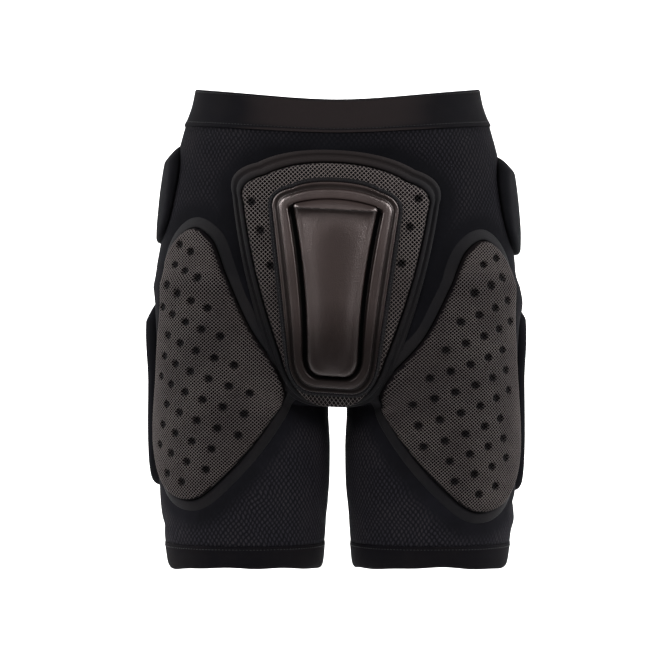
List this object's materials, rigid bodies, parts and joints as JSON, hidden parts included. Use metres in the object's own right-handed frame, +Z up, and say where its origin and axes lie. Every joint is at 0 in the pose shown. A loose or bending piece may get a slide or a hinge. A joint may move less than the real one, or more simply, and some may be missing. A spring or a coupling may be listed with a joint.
{
  "type": "padded protective shorts with a moulded guard",
  "caption": "Padded protective shorts: knitted body, elastic waistband, net-covered foam pads at front, thighs and hips, and a moulded keystone guard.",
  "frame": {"origin": "centre of the waist opening, level with the lowest point of its rim", "axes": "+Z up towards the waist, -Y out of the face that carries the guard, +X towards the right-hand leg as seen from that face"},
  "size_m": [0.3796, 0.2565, 0.4705],
  "materials": {
    "knit": "matt stretch mesh knit",
    "elastic": "matt elastic weave",
    "net": "open diamond net over foam",
    "binding": "smooth laminated cloth",
    "shell": "satin moulded shell"
  },
  "bodies": {
    "root": {"mesh_shorts": "knit", "waistband": "elastic", "hem_left": "elastic", "hem_right": "elastic", "front_pad": "net", "front_pad_border": "binding", "guard_shell": "shell", "guard_binding": "binding", "thigh_pad_left": "net", "thigh_pad_border_left": "binding", "hip_pad_left": "binding", "side_pad_left": "binding", "thigh_pad_right": "net", "thigh_pad_border_right": "binding", "hip_pad_right": "binding", "side_pad_right": "binding"}
  },
  "joints": []
}
